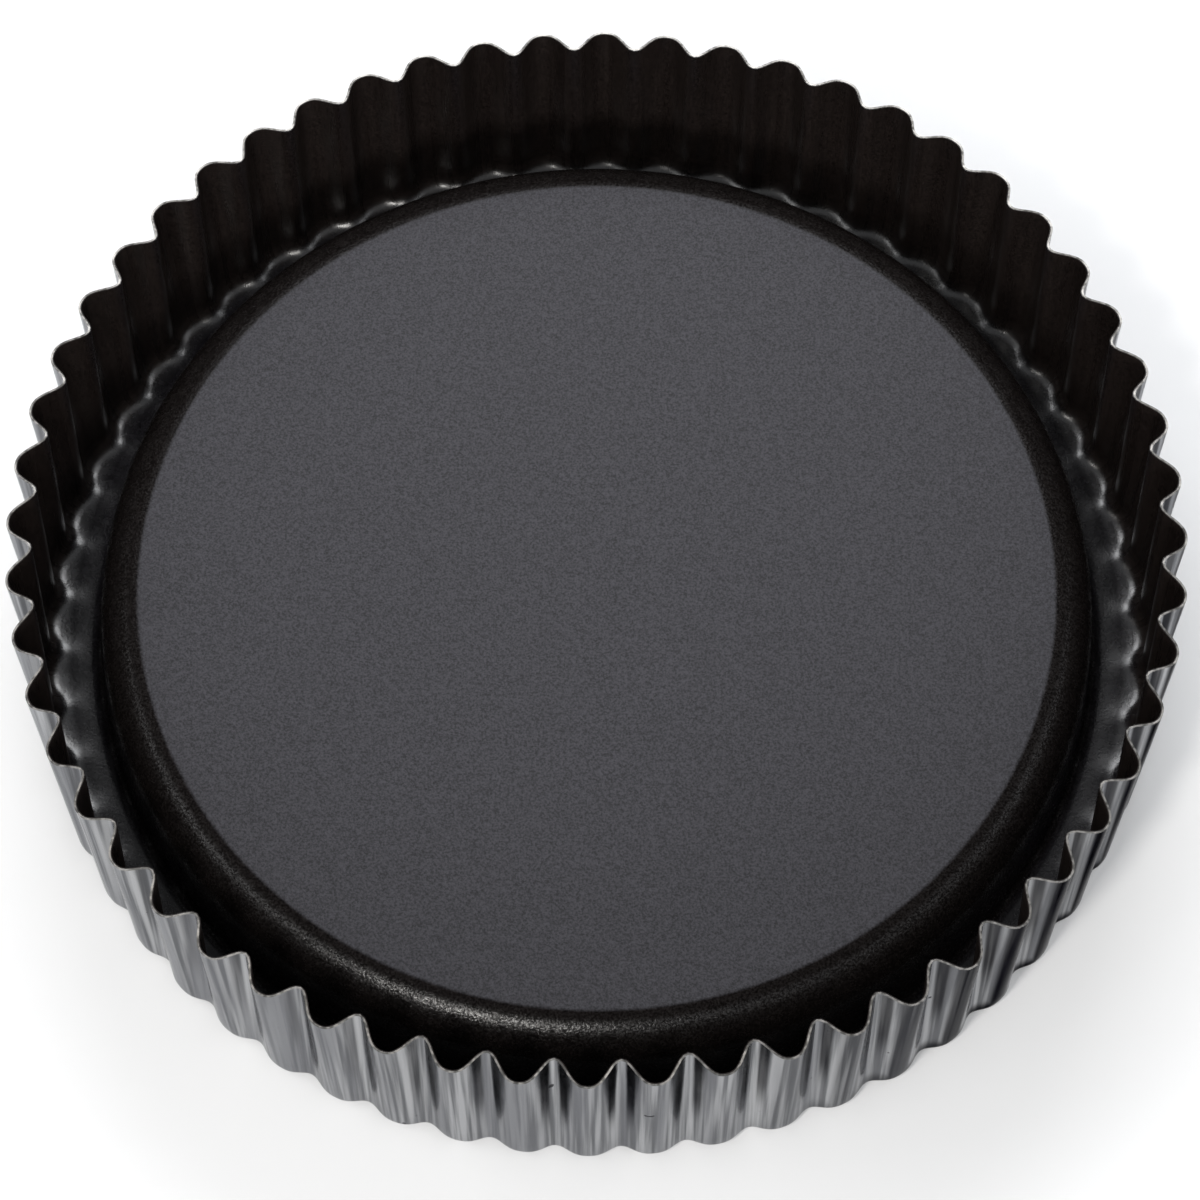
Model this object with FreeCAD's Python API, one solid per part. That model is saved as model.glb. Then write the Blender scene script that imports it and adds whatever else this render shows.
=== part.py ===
import FreeCAD, Part
import math
import os

V = FreeCAD.Vector

# A fluted baking tin with a raised centre, pressed from one disc of sheet
# steel and lined on the inside with a non-stick coat. Millimetres, +Z up.
# The origin is on the surface that the tin stands on, at the tin's axis.
# An outward bulge of the fluted wall lies on +X.

# --- driving dimensions -----------------------------------------------------
RIM_RADIUS = 120.0            # outside of the bulges at the cut edge
RIM_FLUTE_DEPTH = 5.0         # bulge to groove, measured radially at the cut edge
BASE_RADIUS = 117.8           # outside of the bulges where the wall meets the corner
BASE_FLUTE_DEPTH = 2.0        # bulge to groove, measured radially at the corner
RIM_HIGH = 50.0               # cut edge at the grooves
RIM_LOW = 48.4                # cut edge at the bulges
FLUTES = 56
GROOVE_SHARPNESS = 0.32       # 0 is a pure wave; more narrows the grooves
CORNER_RADIUS = 4.0           # outside radius between floor and wall

FOOT_RADIUS = 103.8           # where the moat's floor would meet the slope
STEP_RADIUS = 102.3           # where the slope would meet the raised centre
STEP_HEIGHT = 24.8            # underside of the raised centre
FOOT_FILLET = 3.5             # outside bend at the foot of the slope
STEP_FILLET = 8.0             # outside bend at the edge of the raised centre

SHEET = 0.4                   # steel sheet
LINING = 0.2                  # non-stick coat, drawn thicker than it is

# --- how finely half a flute is sampled for its surfaces ----------------------
STEPS_ACROSS = 8
STEPS_UP_CORNER = 4
SMALL = 1e-4                  # step for measuring slopes on the surface

FLUTE_ANGLE = 2.0 * math.pi / FLUTES


def wave(angle):
    """The flutes' cross-section: +1 on a bulge and -1 in a groove, with narrow grooves."""
    phase = FLUTES * angle
    return math.cos(phase) + GROOVE_SHARPNESS * math.sin(phase) ** 2


def rim_point(angle):
    """Radius and height of the cut edge's outside at one angle."""
    share = (1.0 + wave(angle)) / 2.0
    radius = RIM_RADIUS - RIM_FLUTE_DEPTH * (1.0 - share)
    height = RIM_HIGH - (RIM_HIGH - RIM_LOW) * share
    return radius, height


def corner_centre(angle):
    """Radius of the corner bend's centre at one angle. Its height is CORNER_RADIUS."""
    share = (1.0 + wave(angle)) / 2.0
    return BASE_RADIUS - BASE_FLUTE_DEPTH * (1.0 - share) - CORNER_RADIUS


def corner_sweep(angle):
    """How far the corner bend turns, from straight down, before the wall leaves it."""
    radius, height = rim_point(angle)
    run = radius - corner_centre(angle)
    rise = height - CORNER_RADIUS
    distance = math.hypot(run, rise)
    return math.pi / 2.0 + math.atan2(rise, run) - math.acos(CORNER_RADIUS / distance)


def corner_point(angle, share):
    """A point on the outside of the corner bend; share runs from the floor to the wall."""
    turn = corner_sweep(angle) * share
    radius = corner_centre(angle) + CORNER_RADIUS * math.sin(turn)
    height = CORNER_RADIUS * (1.0 - math.cos(turn))
    return V(radius * math.cos(angle), radius * math.sin(angle), height)


def wall_point(angle, share):
    """A point on the outside of the wall; share runs from the corner to the cut edge."""
    start = corner_point(angle, 1.0)
    radius, height = rim_point(angle)
    end = V(radius * math.cos(angle), radius * math.sin(angle), height)
    return start + (end - start) * share


def offset_point(surface_point, angle, share, offset):
    """The same point moved in by offset, square to the sheet."""
    across = surface_point(angle + SMALL, share) - surface_point(angle - SMALL, share)
    up = surface_point(angle, share + SMALL) - surface_point(angle, share - SMALL)
    inward = up.cross(across)
    inward.normalize()
    return surface_point(angle, share) + inward * offset


def half_flute_angles():
    """The sampled angles of half a flute, from a groove to the bulge on +X."""
    return [FLUTE_ANGLE / 2.0 * (i / STEPS_ACROSS - 1.0) for i in range(STEPS_ACROSS + 1)]


def corner_face(offset):
    """The corner bend of half a flute."""
    grid = [[offset_point(corner_point, angle, j / STEPS_UP_CORNER, offset)
             for j in range(STEPS_UP_CORNER + 1)] for angle in half_flute_angles()]
    surface = Part.BSplineSurface()
    surface.interpolate(grid)
    return surface.toShape()


def cut_edge_curve(offset, spacing):
    """The sheet's cut edge over half a flute, its points spaced like those of the curve below."""
    curve = Part.BSplineCurve()
    curve.interpolate(
        Points=[offset_point(wall_point, angle, 1.0, offset) for angle in half_flute_angles()],
        Parameters=spacing)
    return curve.toShape()


def round_the_tin(half_flute):
    """Copies of half a flute's shape and of its mirror image, all the way round."""
    copies = []
    for k in range(FLUTES):
        for half in (half_flute, half_flute.mirror(V(0, 0, 0), V(0, 1, 0))):
            copy = half.copy()
            copy.rotate(V(0, 0, 0), V(0, 0, 1), 360.0 * k / FLUTES)
            copies.append(copy)
    return copies


def edge_at(face, measure):
    """The face's edge whose middle scores highest."""
    return max(face.Edges, key=lambda edge: measure(edge.valueAt(
        (edge.FirstParameter + edge.LastParameter) / 2.0)))


def centre_profile(offset):
    """Floor's inner end, foot bend, slope, step bend and raised top, at one offset."""
    slope = math.atan2(STEP_HEIGHT, FOOT_RADIUS - STEP_RADIUS)
    shift = offset * math.tan(slope / 2.0)
    foot = V(FOOT_RADIUS + shift, 0, offset)
    step = V(STEP_RADIUS + shift, 0, STEP_HEIGHT + offset)
    foot_bend = FOOT_FILLET - offset
    step_bend = STEP_FILLET + offset
    down_slope = V(math.cos(slope), 0, -math.sin(slope))
    foot_reach = foot_bend * math.tan(slope / 2.0)
    step_reach = step_bend * math.tan(slope / 2.0)
    foot_start = foot + V(foot_reach, 0, 0)
    foot_end = foot - down_slope * foot_reach
    step_start = step + down_slope * step_reach
    step_end = step - V(step_reach, 0, 0)
    half = slope / 2.0
    foot_middle = V(foot_start.x - foot_bend * math.sin(half), 0,
                    offset + foot_bend * (1.0 - math.cos(half)))
    step_middle = V(step_end.x + step_bend * math.sin(half), 0,
                    step_end.z - step_bend * (1.0 - math.cos(half)))
    edges = [
        Part.Arc(foot_start, foot_middle, foot_end).toShape(),
        Part.LineSegment(foot_end, step_start).toShape(),
        Part.Arc(step_start, step_middle, step_end).toShape(),
        Part.LineSegment(step_end, V(0, 0, step_end.z)).toShape(),
    ]
    return edges, foot_start.x


def skin(offset):
    """All faces of the sheet's surface at one offset from its outside, and its rim edges."""
    corner = corner_face(offset)
    wall_foot = edge_at(corner, lambda p: p.z)
    rim_edge = cut_edge_curve(offset, wall_foot.Curve.getKnots())
    wall = Part.makeRuledSurface(wall_foot, rim_edge)
    profile, foot_start = centre_profile(offset)
    outline = Part.Wire(round_the_tin(edge_at(corner, lambda p: -p.z)))
    hole = Part.Wire(Part.Circle(V(0, 0, offset), V(0, 0, 1), foot_start).toShape())
    floor = Part.makeFace([outline, hole], "Part::FaceMakerBullseye")
    faces = round_the_tin(corner) + round_the_tin(wall) + floor.Faces
    for edge in profile:
        faces += edge.revolve(V(0, 0, 0), V(0, 0, 1), 360.0).Faces
    return faces, round_the_tin(rim_edge)


def layer(outer, inner):
    """The closed solid between two offsets of the tin's surface."""
    outer_faces, outer_rim = skin(outer)
    inner_faces, inner_rim = skin(inner)
    cut_edge = [Part.makeRuledSurface(a, b) for a, b in zip(outer_rim, inner_rim)]
    faces = outer_faces + inner_faces + cut_edge
    sewn = Part.makeCompound(faces)
    sewn.sewShape()
    solid = Part.makeSolid(sewn.Shells[0])
    if solid.Volume < 0:
        solid.reverse()
    return solid


def report(name, solid):
    box = solid.BoundBox
    print("%-18s valid %s closed %s shells %d faces %d volume %.1f" % (
        name, solid.isValid(), solid.isClosed(), len(solid.Shells), len(solid.Faces),
        solid.Volume))
    print("   x %.3f..%.3f y %.3f..%.3f z %.3f..%.3f" % (
        box.XMin, box.XMax, box.YMin, box.YMax, box.ZMin, box.ZMax))


os.makedirs("parts", exist_ok=True)
nodes = {
    "pan_shell": layer(0.0, SHEET),
    "nonstick_lining": layer(SHEET, SHEET + LINING),
}
for name, solid in nodes.items():
    report(name, solid)
    solid.exportStep("parts/" + name + ".step")
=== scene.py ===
import math

import bpy
import numpy as np
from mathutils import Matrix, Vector


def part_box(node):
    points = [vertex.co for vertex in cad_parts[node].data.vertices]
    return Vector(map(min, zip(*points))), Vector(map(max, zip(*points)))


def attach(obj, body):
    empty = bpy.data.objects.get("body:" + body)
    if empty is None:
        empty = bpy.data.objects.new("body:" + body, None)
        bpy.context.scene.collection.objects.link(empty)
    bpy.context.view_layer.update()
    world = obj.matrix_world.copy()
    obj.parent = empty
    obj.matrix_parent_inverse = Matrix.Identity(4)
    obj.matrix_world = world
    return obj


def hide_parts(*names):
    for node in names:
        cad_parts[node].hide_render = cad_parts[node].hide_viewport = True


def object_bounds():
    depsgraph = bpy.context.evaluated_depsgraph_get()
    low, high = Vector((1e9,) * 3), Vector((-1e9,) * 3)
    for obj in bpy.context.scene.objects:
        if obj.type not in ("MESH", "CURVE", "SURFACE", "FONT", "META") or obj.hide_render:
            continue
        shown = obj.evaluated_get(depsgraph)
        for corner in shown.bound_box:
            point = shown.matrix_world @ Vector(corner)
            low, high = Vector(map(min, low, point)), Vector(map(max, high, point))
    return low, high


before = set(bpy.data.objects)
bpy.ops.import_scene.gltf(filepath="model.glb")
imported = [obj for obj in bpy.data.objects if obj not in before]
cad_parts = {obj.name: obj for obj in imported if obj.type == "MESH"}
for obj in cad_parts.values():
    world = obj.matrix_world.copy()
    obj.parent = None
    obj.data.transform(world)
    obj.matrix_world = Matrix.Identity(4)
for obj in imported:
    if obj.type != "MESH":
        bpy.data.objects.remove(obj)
cad_low, cad_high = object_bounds()

# A fluted baking tin with a raised centre: one pressed steel sheet and its
# dark non-stick lining. Metres. The sheet is described by its outside surface
# and by how far inside it each layer lies.

# --- sizes --------------------------------------------------------------------
MM = 0.001
shell_low, shell_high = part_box("pan_shell")
RIM_RADIUS = shell_high[0]        # outside of the bulges at the cut edge
RIM_HIGH = shell_high[2]          # cut edge at the grooves
RIM_DIP = 1.6 * MM                # how much lower the cut edge is at the bulges
RIM_LOW = RIM_HIGH - RIM_DIP
FLARE = 2.2 * MM                  # how much the bulges lean out from the corner to the cut edge
RIM_FLUTE_DEPTH = 5.0 * MM
BASE_RADIUS = RIM_RADIUS - FLARE
BASE_FLUTE_DEPTH = 2.0 * MM
CORNER_RADIUS = 4.0 * MM
FOOT_RADIUS = 103.8 * MM
STEP_RADIUS = 102.3 * MM
STEP_HEIGHT = 24.8 * MM
FOOT_FILLET = 3.5 * MM
STEP_FILLET = 8.0 * MM
SHEET = 0.4 * MM
LINING = 0.2 * MM
FLUTES = 56
GROOVE_SHARPNESS = 0.32           # 0 is a pure wave; more narrows the grooves
DISC_EDGE = 95.2 * MM             # where the coat turns from charcoal to near black

# --- small irregularities of a pressed sheet --------------------------------------
RADIUS_WOBBLE = 0.15 * MM
HEIGHT_WOBBLE = 0.2 * MM
DEPTH_WOBBLE = 0.05               # a share of the flute depth
RIPPLE_HEIGHT = 0.45 * MM
RIPPLE_REACH = 6.0 * MM           # how far the ripples run into the moat's floor
RIPPLE_TOP = 4.0 * MM             # height at which they have faded out

# --- how finely the meshes are divided ------------------------------------------
STEPS_PER_FLUTE = 18
DISC_RINGS = (0.3, 0.6, 0.8, 0.9, 0.96, 1.0)   # shares of the flat's radius
BEND_STEPS = 9
SLOPE_STEPS = 3
FLOOR_STEPS = 5
CORNER_STEPS = 7
WALL_STEPS = 14
SMALL = 1e-4                      # step for measuring slopes on the surface
SHARP_ANGLE = math.radians(40.0)  # creases sharper than this aren't smoothed

AROUND = FLUTES * STEPS_PER_FLUTE
TURN = np.arange(AROUND) * 2.0 * math.pi / AROUND


# --- the sheet's shape ----------------------------------------------------------
def wave(angle):
    """The flutes' cross-section: +1 on a bulge and -1 in a groove, with narrow grooves."""
    phase = FLUTES * angle
    return np.cos(phase) + GROOVE_SHARPNESS * np.sin(phase) ** 2


def unevenness(angle, seed, strongest=9):
    """A smooth closed wobble round the tin, within about -1 to 1."""
    draw = np.random.default_rng(seed)
    total = np.zeros_like(angle)
    for k in range(2, strongest + 1):
        total = total + draw.normal() / k * np.cos(k * angle + draw.uniform(0.0, 2.0 * math.pi))
    return total


def rim_point(angle):
    """Radius and height of the cut edge's outside at one angle."""
    share = (1.0 + wave(angle)) / 2.0
    depth = RIM_FLUTE_DEPTH * (1.0 + DEPTH_WOBBLE * unevenness(angle, 3, 24))
    radius = RIM_RADIUS - RADIUS_WOBBLE - depth * (1.0 - share) + RADIUS_WOBBLE * unevenness(angle, 5)
    height = RIM_HIGH - HEIGHT_WOBBLE - (RIM_HIGH - RIM_LOW) * share
    height = height + HEIGHT_WOBBLE * unevenness(angle, 7, 20)
    return np.minimum(radius, RIM_RADIUS), np.minimum(height, RIM_HIGH)


def corner_centre(angle):
    """Radius of the corner bend's centre at one angle. Its height is CORNER_RADIUS."""
    share = (1.0 + wave(angle)) / 2.0
    return BASE_RADIUS - BASE_FLUTE_DEPTH * (1.0 - share) - CORNER_RADIUS


def corner_sweep(angle):
    """How far the corner bend turns, from straight down, before the wall leaves it."""
    radius, height = rim_point(angle)
    run = radius - corner_centre(angle)
    rise = height - CORNER_RADIUS
    return math.pi / 2.0 + np.arctan2(rise, run) - np.arccos(CORNER_RADIUS / np.hypot(run, rise))


def place(angle, radius, height):
    """Points from angles, radii and heights about the axis."""
    return np.stack([radius * np.cos(angle), radius * np.sin(angle), height], axis=-1)


def slope_angle():
    """How steeply the raised centre's slope falls, in radians."""
    return math.atan2(STEP_HEIGHT, FOOT_RADIUS - STEP_RADIUS)


def floor_point(angle, share):
    """The moat's floor outside, from the foot bend to the corner bend."""
    inner = FOOT_RADIUS + FOOT_FILLET * math.tan(slope_angle() / 2.0)
    radius = inner + (corner_centre(angle) - inner) * share
    return place(angle, radius, np.zeros_like(angle))


def corner_point(angle, share):
    """The corner bend outside, from the floor to the wall."""
    turn = corner_sweep(angle) * share
    radius = corner_centre(angle) + CORNER_RADIUS * np.sin(turn)
    return place(angle, radius, CORNER_RADIUS * (1.0 - np.cos(turn)))


def wall_point(angle, share):
    """The wall outside, from the corner bend to the cut edge."""
    start = corner_point(angle, np.ones_like(angle))
    end = place(angle, *rim_point(angle))
    return start + (end - start) * np.asarray(share)[..., None]


def offset_ring(surface_point, share, offset):
    """One ring of points on a part of the sheet, moved in by offset, square to the sheet."""
    shares = np.full(AROUND, share)
    across = surface_point(TURN + SMALL, shares) - surface_point(TURN - SMALL, shares)
    up = surface_point(TURN, shares + SMALL) - surface_point(TURN, shares - SMALL)
    inward = np.cross(up, across)
    inward /= np.linalg.norm(inward, axis=1)[:, None]
    return surface_point(TURN, shares) + inward * offset


def round_ring(radius, height):
    """A plain circle of points."""
    return place(TURN, np.full(AROUND, radius), np.full(AROUND, height))


def centre_rings(offset):
    """Rings from the middle of the raised centre down its slope to the moat's floor."""
    slope = slope_angle()
    shift = offset * math.tan(slope / 2.0)
    step_bend = STEP_FILLET + offset
    foot_bend = FOOT_FILLET - offset
    step_end = STEP_RADIUS + shift - step_bend * math.tan(slope / 2.0)
    foot_start = FOOT_RADIUS + shift + foot_bend * math.tan(slope / 2.0)
    top = STEP_HEIGHT + offset
    rings = [round_ring(step_end * share, top) for share in DISC_RINGS]
    for i in range(1, BEND_STEPS + 1):
        turn = slope * i / BEND_STEPS
        rings.append(round_ring(step_end + step_bend * math.sin(turn),
                                top - step_bend * (1.0 - math.cos(turn))))
    slope_top = rings[-1][0]
    slope_foot = (foot_start - foot_bend * math.sin(slope),
                  offset + foot_bend * (1.0 - math.cos(slope)))
    for i in range(1, SLOPE_STEPS):
        share = i / SLOPE_STEPS
        rings.append(round_ring(slope_top[0] + (slope_foot[0] - slope_top[0]) * share,
                                slope_top[2] + (slope_foot[1] - slope_top[2]) * share))
    for i in range(BEND_STEPS, -1, -1):
        turn = slope * i / BEND_STEPS
        rings.append(round_ring(foot_start - foot_bend * math.sin(turn),
                                offset + foot_bend * (1.0 - math.cos(turn))))
    return rings


def floor_ripple(points, offset):
    """Soft ripples pressed up into the moat's floor where each groove meets it."""
    radius = np.hypot(points[:, 0], points[:, 1])
    near = np.clip(1.0 - (BASE_RADIUS - CORNER_RADIUS - radius) / RIPPLE_REACH, 0.0, 1.0)
    fade = near * near * (3.0 - 2.0 * near)
    low = np.clip(1.0 - (points[:, 2] - offset) / RIPPLE_TOP, 0.0, 1.0)
    lifted = points.copy()
    lifted[:, 2] += RIPPLE_HEIGHT * (1.0 - wave(TURN)) / 2.0 * fade * low
    return lifted


def wall_rings(offset):
    """Rings from the moat's floor round the corner bend and up the wall to the cut edge."""
    rings = [offset_ring(floor_point, i / FLOOR_STEPS, offset) for i in range(1, FLOOR_STEPS)]
    rings += [offset_ring(corner_point, i / CORNER_STEPS, offset) for i in range(CORNER_STEPS)]
    rings = [floor_ripple(ring, offset) for ring in rings]
    rings += [offset_ring(wall_point, i / WALL_STEPS, offset) for i in range(WALL_STEPS + 1)]
    return rings


def layer_mesh(name, outer, inner):
    """A closed layer of the sheet between two offsets, as one mesh object."""
    inside = centre_rings(inner) + wall_rings(inner)
    outside = centre_rings(outer) + wall_rings(outer)
    rings = inside + outside[::-1]
    points = np.concatenate(rings + [[[0.0, 0.0, STEP_HEIGHT + inner]],
                                     [[0.0, 0.0, STEP_HEIGHT + outer]]])
    faces = []
    cut_edge = []
    for row in range(len(rings) - 1):
        below, above = row * AROUND, (row + 1) * AROUND
        for i in range(AROUND):
            j = (i + 1) % AROUND
            faces.append((below + i, above + i, above + j, below + j))
            cut_edge.append(row == len(inside) - 1)
    last = (len(rings) - 1) * AROUND
    top_middle, bottom_middle = len(rings) * AROUND, len(rings) * AROUND + 1
    for i in range(AROUND):
        j = (i + 1) % AROUND
        faces.append((i, j, top_middle))
        faces.append((last + j, last + i, bottom_middle))
        cut_edge += [False, False]
    mesh = bpy.data.meshes.new(name)
    mesh.from_pydata(points.tolist(), [], faces)
    mesh.validate()
    mesh.shade_smooth()
    mesh.set_sharp_from_angle(angle=SHARP_ANGLE)
    piece = bpy.data.objects.new(name, mesh)
    bpy.context.scene.collection.objects.link(piece)
    return piece, cut_edge


# --- colours, linear ----------------------------------------------------------------
STEEL_DARK_STREAK = (0.175, 0.178, 0.183, 1.0)
STEEL_LIGHT_STREAK = (0.560, 0.565, 0.572, 1.0)
STEEL_BROAD_STREAK = (0.215, 0.218, 0.232, 1.0)
# painted shade: the steel's colour where its grooves and its right-hand side are shaded
STEEL_PAINTED_SHADE = (0.052, 0.051, 0.052, 1.0)
STEEL_SCUFF = (0.02, 0.02, 0.022, 1.0)
STEEL_EDGE = (0.56, 0.565, 0.58, 1.0)               # at grazing angles
# painted shade at grazing angles, in the same places
STEEL_EDGE_PAINTED_SHADE = (0.165, 0.164, 0.166, 1.0)   # at grazing angles
CUT_EDGE_DARK = (0.15, 0.145, 0.135, 1.0)
CUT_EDGE_LIGHT = (0.36, 0.345, 0.325, 1.0)
COAT_WALL_DARK = (0.0085, 0.0062, 0.0055, 1.0)
COAT_WALL_LIGHT = (0.0125, 0.0092, 0.0081, 1.0)
COAT_FLOOR = (0.0062, 0.0054, 0.0070, 1.0)
COAT_SLOPE = (0.0066, 0.0053, 0.0050, 1.0)
COAT_CENTRE = (0.0310, 0.0300, 0.0352, 1.0)
COAT_SHINE = 0.26
COAT_CORNER_SHINE = 0.90
STUDIO_FLOOR = (0.90, 0.90, 0.90, 1.0)
NEUTRAL = (1.0, 1.0, 1.0)
WARM = (1.0, 0.97, 0.93)
WARM_PALE = (1.0, 0.98, 0.95)
COOL_PALE = (0.97, 0.98, 1.0)
COOL = (0.95, 0.97, 1.0)


# --- material nodes -------------------------------------------------------------
class Nodes:
    """A material and short ways to add nodes to it. Values may be numbers or sockets."""

    def __init__(self, name):
        self.material = bpy.data.materials.new(name)
        self.material.use_nodes = True
        self.tree = self.material.node_tree
        self.shader = self.tree.nodes["Principled BSDF"]

    def put(self, socket, value):
        if isinstance(value, bpy.types.NodeSocket):
            self.tree.links.new(value, socket)
        else:
            socket.default_value = value

    def math(self, operation, *values):
        node = self.tree.nodes.new("ShaderNodeMath")
        node.operation = operation
        for socket, value in zip(node.inputs, values):
            self.put(socket, value)
        return node.outputs[0]

    def place(self):
        """The object's own coordinates, x and z, and its radius and angle about the axis."""
        coordinates = self.tree.nodes.new("ShaderNodeTexCoord").outputs["Object"]
        split = self.tree.nodes.new("ShaderNodeSeparateXYZ")
        self.put(split.inputs[0], coordinates)
        x, y, z = split.outputs
        radius = self.math("SQRT", self.math("ADD", self.math("MULTIPLY", x, x),
                                             self.math("MULTIPLY", y, y)))
        angle = self.math("ARCTAN2", y, x)
        return coordinates, x, z, radius, angle

    def vector(self, x, y, z):
        node = self.tree.nodes.new("ShaderNodeCombineXYZ")
        for socket, value in zip(node.inputs, (x, y, z)):
            self.put(socket, value)
        return node.outputs[0]

    def noise(self, vector, scale, detail=2.0, roughness=0.5):
        node = self.tree.nodes.new("ShaderNodeTexNoise")
        self.put(node.inputs["Vector"], vector)
        self.put(node.inputs["Scale"], scale)
        self.put(node.inputs["Detail"], detail)
        self.put(node.inputs["Roughness"], roughness)
        return node.outputs["Fac"]

    def ramp(self, value, low, high, to_low=0.0, to_high=1.0):
        """Maps low..high to to_low..to_high, smoothly and within those limits."""
        node = self.tree.nodes.new("ShaderNodeMapRange")
        node.interpolation_type = "SMOOTHSTEP"
        for key, given in (("Value", value), ("From Min", low), ("From Max", high),
                           ("To Min", to_low), ("To Max", to_high)):
            self.put(node.inputs[key], given)
        return node.outputs["Result"]

    def mix(self, share, first, second, kind="RGBA"):
        node = self.tree.nodes.new("ShaderNodeMix")
        node.data_type = kind
        self.put(node.inputs["Factor"], share)
        self.put(node.inputs["A"], first)
        self.put(node.inputs["B"], second)
        return node.outputs["Result"]

    def mix_number(self, share, first, second):
        return self.mix(share, first, second, "FLOAT")

    def scale_colour(self, colour, factor):
        node = self.tree.nodes.new("ShaderNodeVectorMath")
        node.operation = "SCALE"
        self.put(node.inputs[0], colour)
        self.put(node.inputs["Scale"], factor)
        return node.outputs[0]

    def bump(self, height, strength, distance):
        node = self.tree.nodes.new("ShaderNodeBump")
        self.put(node.inputs["Height"], height)
        self.put(node.inputs["Strength"], strength)
        self.put(node.inputs["Distance"], distance)
        self.put(self.shader.inputs["Normal"], node.outputs[0])

    def set(self, **values):
        names = {"colour": "Base Color", "metal": "Metallic", "roughness": "Roughness",
                 "specular": "Specular IOR Level", "edge_tint": "Specular Tint"}
        for key, value in values.items():
            self.put(self.shader.inputs[names[key]], value)
        return self.material


def streaks(nodes, angle, z, fineness, stretch):
    """Noise drawn out up the wall: fine round the tin, long along its height."""
    around_x = nodes.math("MULTIPLY", nodes.math("COSINE", angle), fineness)
    around_y = nodes.math("MULTIPLY", nodes.math("SINE", angle), fineness)
    return nodes.noise(nodes.vector(around_x, around_y, nodes.math("MULTIPLY", z, stretch)), 1.0, 3.0)


def steel_painted_shade(nodes, x, z, angle):
    """Painted shade on the steel: dark reflections painted beside each groove towards the cut edge,
    weaker on one flank on the left, and shade painted on the bulges and the foot on the right.
    """
    phase = nodes.math("MULTIPLY", angle, float(FLUTES))
    across = nodes.math("SINE", phase)
    crest_or_groove = nodes.math("COSINE", phase)
    beside_groove = nodes.math("MULTIPLY", nodes.ramp(crest_or_groove, -0.18, -0.45),
                               nodes.ramp(crest_or_groove, -0.95, -0.80))
    lean = nodes.math("MULTIPLY", across, nodes.math("MINIMUM", x, 0.0))
    side = nodes.ramp(lean, -0.4 * RIM_RADIUS, 0.0, 0.40, 1.0)
    upper = nodes.ramp(z, 0.24 * RIM_HIGH, 0.62 * RIM_HIGH, 0.0, 0.68)
    # painted shade standing in for the dark reflections beside the grooves, growing towards the cut edge
    groove_painted_shade = nodes.math("MULTIPLY", nodes.math("MULTIPLY", beside_groove, side), upper)
    # painted shade on the bulges and the foot on the right-hand side, standing in for the darker
    # surroundings there
    crest = nodes.ramp(nodes.math("COSINE", nodes.math("ADD", phase, 0.35)), 0.25, 0.75)
    crest_or_corner = nodes.math("MAXIMUM", crest, nodes.ramp(z, 9.0 * MM, 4.0 * MM))
    right = nodes.ramp(x, 0.2 * RIM_RADIUS, 0.7 * RIM_RADIUS, 0.0, 0.80)
    return nodes.math("MAXIMUM", groove_painted_shade, nodes.math("MULTIPLY", crest_or_corner, right))


def steel_material():
    """Satin pressed steel: upright draw marks, painted shade beside the grooves and on the right, a few
    scuffs.
    """
    nodes = Nodes("satin_steel")
    coordinates, x, z, radius, angle = nodes.place()
    fine = streaks(nodes, angle, z, 110.0, 16.0)
    broad = streaks(nodes, angle, z, 26.0, 9.0)
    cloudy = nodes.noise(coordinates, 60.0, 4.0, 0.6)
    grain = nodes.noise(coordinates, 2400.0, 2.0)
    scuff = nodes.ramp(nodes.noise(coordinates, 210.0, 2.0, 0.5), 0.745, 0.775)
    # painted shade for the steel's colour and for its grazing reflections
    dark = steel_painted_shade(nodes, x, z, angle)
    grey = nodes.mix(nodes.ramp(fine, 0.36, 0.64), STEEL_DARK_STREAK, STEEL_LIGHT_STREAK)
    grey = nodes.mix(nodes.ramp(broad, 0.40, 0.65, 0.0, 0.7), grey, STEEL_BROAD_STREAK)
    grey = nodes.mix(dark, grey, STEEL_PAINTED_SHADE)
    grey = nodes.mix(nodes.math("MULTIPLY", scuff, 0.85), grey, STEEL_SCUFF)
    edge = nodes.mix(dark, STEEL_EDGE, STEEL_EDGE_PAINTED_SHADE)
    dull = nodes.math("ADD", nodes.ramp(cloudy, 0.3, 0.7, 0.14, 0.23),
                      nodes.math("MULTIPLY", scuff, 0.3))
    marks = nodes.math("ADD", nodes.math("MULTIPLY", fine, 0.8), nodes.math("MULTIPLY", grain, 0.2))
    nodes.bump(marks, 0.45, 0.06 * MM)
    return nodes.set(colour=grey, metal=1.0, roughness=dull, edge_tint=edge)


def cut_edge_material():
    """The sheared edge of the sheet, with a fine grain."""
    nodes = Nodes("cut_edge_steel")
    coordinates, x, z, radius, angle = nodes.place()
    nicks = nodes.noise(coordinates, 900.0, 3.0)
    grey = nodes.mix(nodes.ramp(nicks, 0.35, 0.65), CUT_EDGE_DARK, CUT_EDGE_LIGHT)
    nodes.bump(nicks, 0.3, 0.05 * MM)
    return nodes.set(colour=grey, metal=1.0, roughness=nodes.ramp(nicks, 0.3, 0.7, 0.30, 0.45))


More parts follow.
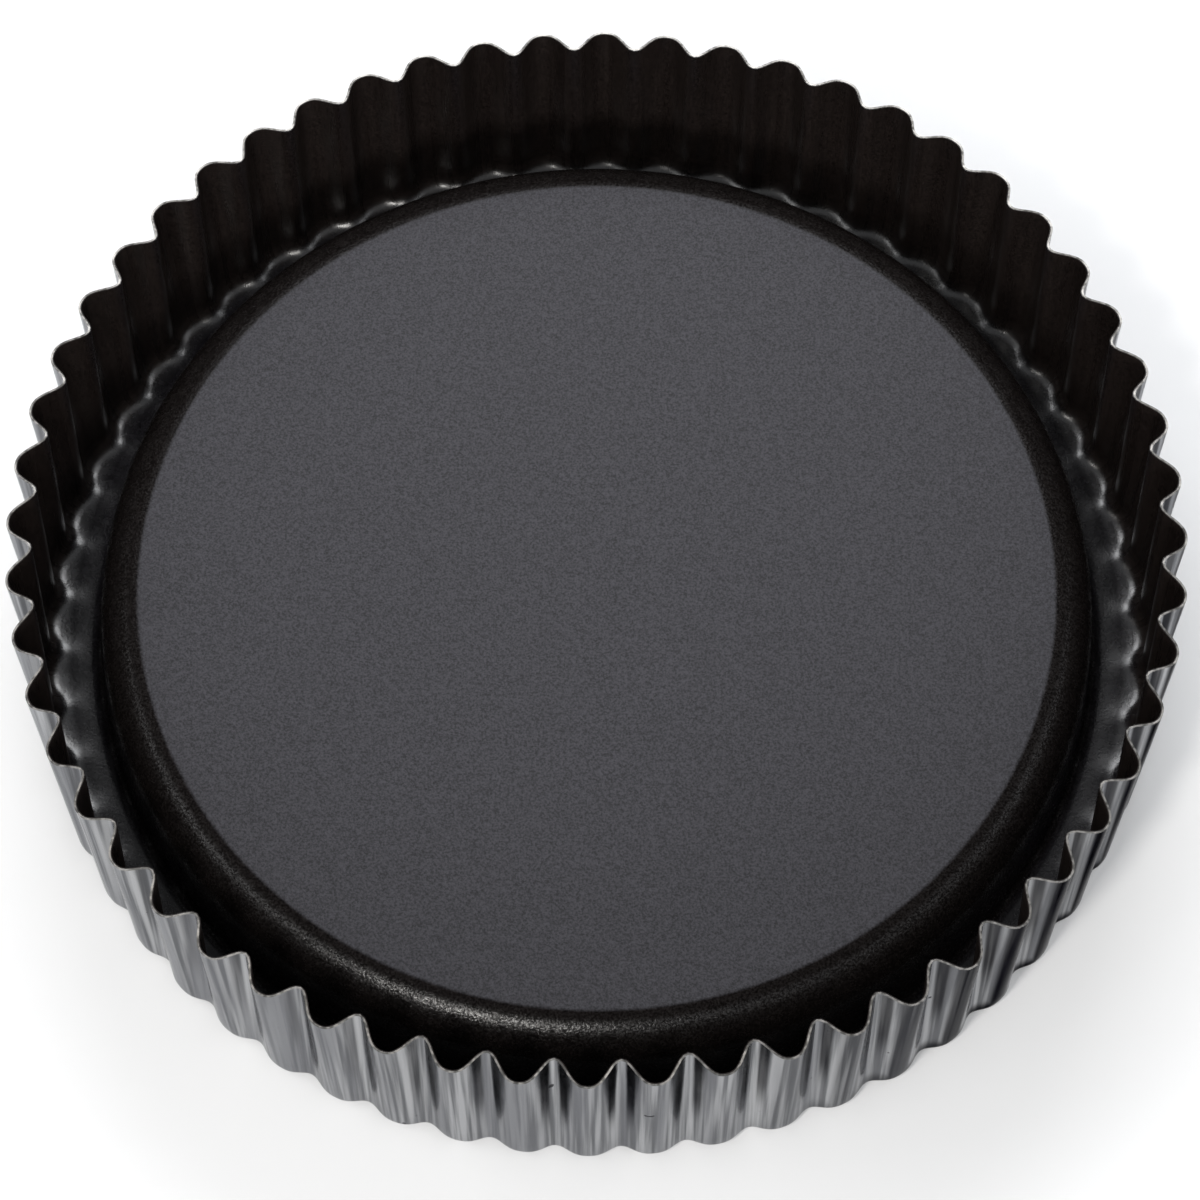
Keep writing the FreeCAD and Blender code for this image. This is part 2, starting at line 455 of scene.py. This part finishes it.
def nonstick_material():
    """Dark non-stick coat: charcoal and speckled on the raised centre, near black elsewhere."""
    nodes = Nodes("nonstick_coat")
    coordinates, x, z, radius, angle = nodes.place()
    speckle = nodes.noise(coordinates, 2100.0, 2.0, 0.7)
    mottle = nodes.noise(coordinates, 700.0, 2.0, 0.6)
    drawn = streaks(nodes, angle, z, 60.0, 12.0)

    on_centre = nodes.ramp(radius, DISC_EDGE + 0.4 * MM, DISC_EDGE - 0.6 * MM)
    on_wall = nodes.ramp(radius, BASE_RADIUS - 5.0 * MM, BASE_RADIUS - 2.5 * MM)
    on_slope = nodes.ramp(radius, FOOT_RADIUS + 3.0 * MM, FOOT_RADIUS)
    on_bend = nodes.ramp(radius, DISC_EDGE + 1.5 * MM, DISC_EDGE + 4.2 * MM, 0.10, 1.0)
    at_corner = nodes.math("MULTIPLY", nodes.ramp(radius, BASE_RADIUS - 6.8 * MM, BASE_RADIUS - 4.8 * MM),
                           nodes.ramp(z, 6.0 * MM, 3.0 * MM))

    wall = nodes.mix(nodes.ramp(drawn, 0.3, 0.7), COAT_WALL_DARK, COAT_WALL_LIGHT)
    floor = nodes.mix(on_slope, COAT_FLOOR, COAT_SLOPE)
    colour = nodes.mix(on_wall, floor, wall)
    colour = nodes.mix(on_centre, colour, COAT_CENTRE)
    shade = nodes.math("ADD", nodes.ramp(speckle, 0.3, 0.7, 0.50, 1.50),
                       nodes.ramp(mottle, 0.3, 0.7, -0.12, 0.12))
    colour = nodes.scale_colour(colour, shade)

    satin = nodes.ramp(mottle, 0.3, 0.7, 0.55, 0.62)
    gloss = nodes.mix_number(on_wall, nodes.ramp(mottle, 0.3, 0.7, 0.22, 0.30),
                             nodes.ramp(drawn, 0.3, 0.7, 0.25, 0.33))
    rough = nodes.mix_number(on_centre, gloss, satin)

    sparkle = nodes.math("MULTIPLY", nodes.ramp(speckle, 0.40, 0.62, 0.16, 1.0), on_bend)
    shine = nodes.mix_number(on_slope, COAT_SHINE, sparkle)
    shine = nodes.mix_number(at_corner, shine, COAT_CORNER_SHINE)
    shine = nodes.mix_number(on_centre, shine, COAT_SHINE)

    grain = nodes.math("ADD", nodes.math("MULTIPLY", speckle, 0.6), nodes.math("MULTIPLY", mottle, 0.4))
    nodes.bump(grain, nodes.mix_number(on_slope, 0.30, 0.70), 0.18 * MM)
    return nodes.set(colour=colour, roughness=rough, specular=shine)


# --- the pieces -----------------------------------------------------------------
def make_shell():
    piece, cut_edge = layer_mesh("steel_sheet", 0.0, SHEET)
    piece.data.materials.append(steel_material())
    piece.data.materials.append(cut_edge_material())
    for face, is_cut in zip(piece.data.polygons, cut_edge):
        face.material_index = 1 if is_cut else 0
    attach(piece, "root")
    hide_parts("pan_shell")


def make_lining():
    piece, _ = layer_mesh("nonstick_coat", SHEET, SHEET + LINING)
    piece.data.materials.append(nonstick_material())
    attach(piece, "root")
    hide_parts("nonstick_lining")


# --- floor, light and camera ------------------------------------------------------
FLOOR_HALF = 6.0                  # half of the studio floor's side
FLOOR_GAP = 0.02 * MM             # the floor lies this much under the tin
WORLD_STRENGTH = 0.44
CAMERA_ELEVATION = math.radians(63.0)
CAMERA_TURN = math.radians(0.92)
CAMERA_DISTANCE = 7.62 * RIM_RADIUS
CAMERA_AIM = Vector((0.7 * MM, 0.0, 16.0 * MM))
SENSOR_MM = 36.0
LENS_MM = 135.4


def make_floor():
    corners = [(-FLOOR_HALF, -FLOOR_HALF, 0.0), (FLOOR_HALF, -FLOOR_HALF, 0.0),
               (FLOOR_HALF, FLOOR_HALF, 0.0), (-FLOOR_HALF, FLOOR_HALF, 0.0)]
    mesh = bpy.data.meshes.new("studio_floor")
    mesh.from_pydata(corners, [], [(0, 1, 2, 3)])
    floor = bpy.data.objects.new("studio_floor", mesh)
    bpy.context.scene.collection.objects.link(floor)
    nodes = Nodes("pale_floor")
    floor.data.materials.append(nodes.set(colour=STUDIO_FLOOR, roughness=0.9, specular=0.1))
    floor.location.z = cad_low[2] - FLOOR_GAP


def area_light(name, azimuth, elevation, distance, width, height, power, colour):
    """A soft panel that faces the tin. Azimuth 0 is in front, on -Y, and 90 is on +X."""
    light = bpy.data.lights.new(name, "AREA")
    light.shape = "RECTANGLE"
    light.size, light.size_y = width, height
    light.energy = power
    light.color = colour
    lamp = bpy.data.objects.new(name, light)
    a, e = math.radians(azimuth), math.radians(elevation)
    out = Vector((math.sin(a) * math.cos(e), -math.cos(a) * math.cos(e), math.sin(e)))
    lamp.location = out * distance
    lamp.rotation_mode = "QUATERNION"
    lamp.rotation_quaternion = out.to_track_quat("Z", "Y")
    bpy.context.scene.collection.objects.link(lamp)


def make_light():
    """A pale world and six panels. Degrees, metres and watts."""
    world = bpy.data.worlds.new("studio")
    world.use_nodes = True
    background = world.node_tree.nodes["Background"]
    background.inputs["Color"].default_value = (*COOL, 1.0)
    background.inputs["Strength"].default_value = WORLD_STRENGTH
    bpy.context.scene.world = world
    area_light("key_panel", -24.0, 57.0, 1.1, 0.12, 0.16, 3.7, WARM)
    area_light("left_front_panel", -60.0, 59.0, 1.1, 0.12, 0.18, 0.2, WARM_PALE)
    area_light("back_panel", 180.0, 50.0, 0.60, 0.5, 0.25, 2.3, COOL_PALE)
    area_light("left_panel", -95.0, 46.0, 1.3, 0.6, 0.4, 2.0, NEUTRAL)
    area_light("right_panel", 110.0, 50.0, 1.6, 0.5, 0.5, 1.2, COOL)
    area_light("front_fill", 8.0, 20.0, 1.5, 1.6, 0.5, 14.0, NEUTRAL)


def make_camera():
    """Looks down at the tin from in front; the angles are about the rim's middle."""
    rim_middle = Vector((0.0, 0.0, (RIM_HIGH + RIM_LOW) / 2.0))
    back = Vector((math.sin(CAMERA_TURN) * math.cos(CAMERA_ELEVATION),
                   -math.cos(CAMERA_TURN) * math.cos(CAMERA_ELEVATION),
                   math.sin(CAMERA_ELEVATION)))
    data = bpy.data.cameras.new("camera")
    data.sensor_width = SENSOR_MM
    data.lens = LENS_MM
    data.clip_start, data.clip_end = 0.01, 50.0
    camera = bpy.data.objects.new("camera", data)
    camera.location = rim_middle + back * CAMERA_DISTANCE
    camera.rotation_mode = "QUATERNION"
    camera.rotation_quaternion = (CAMERA_AIM - camera.location).to_track_quat("-Z", "Y")
    bpy.context.scene.collection.objects.link(camera)
    bpy.context.scene.camera = camera


make_shell()
make_lining()
make_floor()
make_light()
make_camera()
bpy.context.scene.view_settings.view_transform = "Standard"
bpy.context.scene.view_settings.look = "None"
